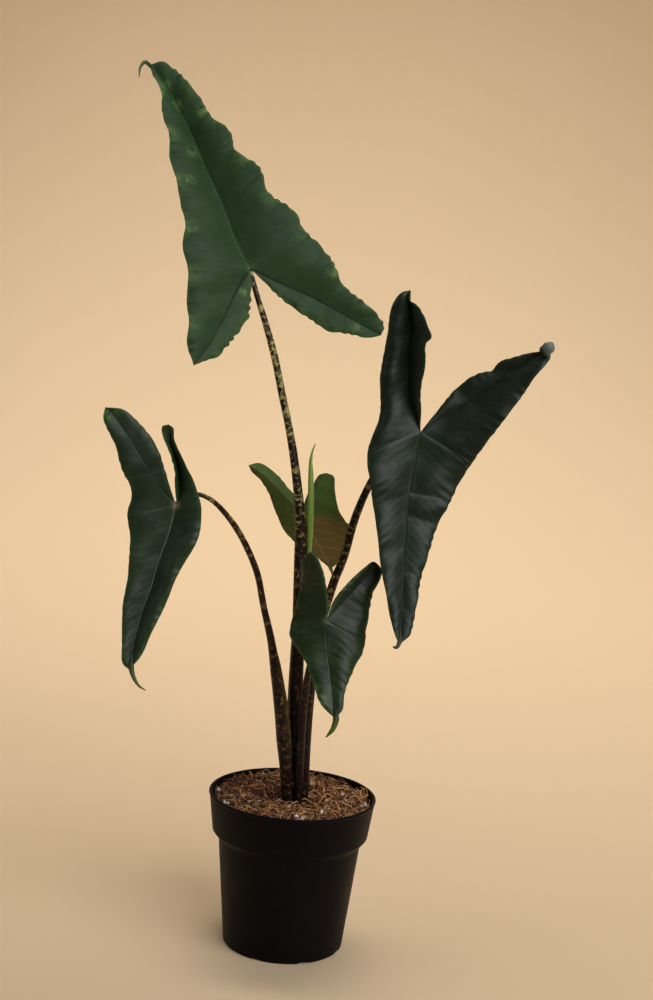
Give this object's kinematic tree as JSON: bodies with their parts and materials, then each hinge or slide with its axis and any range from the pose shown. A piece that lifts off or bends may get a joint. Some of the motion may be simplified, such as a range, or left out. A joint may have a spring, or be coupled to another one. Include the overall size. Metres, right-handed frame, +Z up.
{
  "type": "potted alocasia plant",
  "caption": "Arrow-shaped leaves with waved edges on long mottled stalks that nest at the foot, with a rolled new leaf, rooted in coir mix in a round tapered pot with a deep collar.",
  "frame": {"origin": "centre of the pot's underside, on the surface that it stands on", "axes": "+Z up, -Y towards the side that the upper faces of the leaves turn to, +X to the right seen from there"},
  "size_m": [0.3685, 0.2462, 0.7754],
  "materials": {
    "leaf": "satin, waxy leaf surface",
    "stalk": "satin, dark brown with pale green mottling",
    "young_leaf": "satin",
    "pot": "satin black polypropylene",
    "soil": "rough, fibrous"
  },
  "bodies": {
    "root": {"blade_top": "leaf", "blade_left": "leaf", "blade_right": "leaf", "blade_front": "leaf", "blade_back": "leaf", "stalk_top": "stalk", "stalk_left": "stalk", "stalk_right": "stalk", "stalk_front": "stalk", "stalk_back": "stalk", "new_leaf": "young_leaf", "pot": "pot", "soil": "soil"}
  },
  "joints": []
}
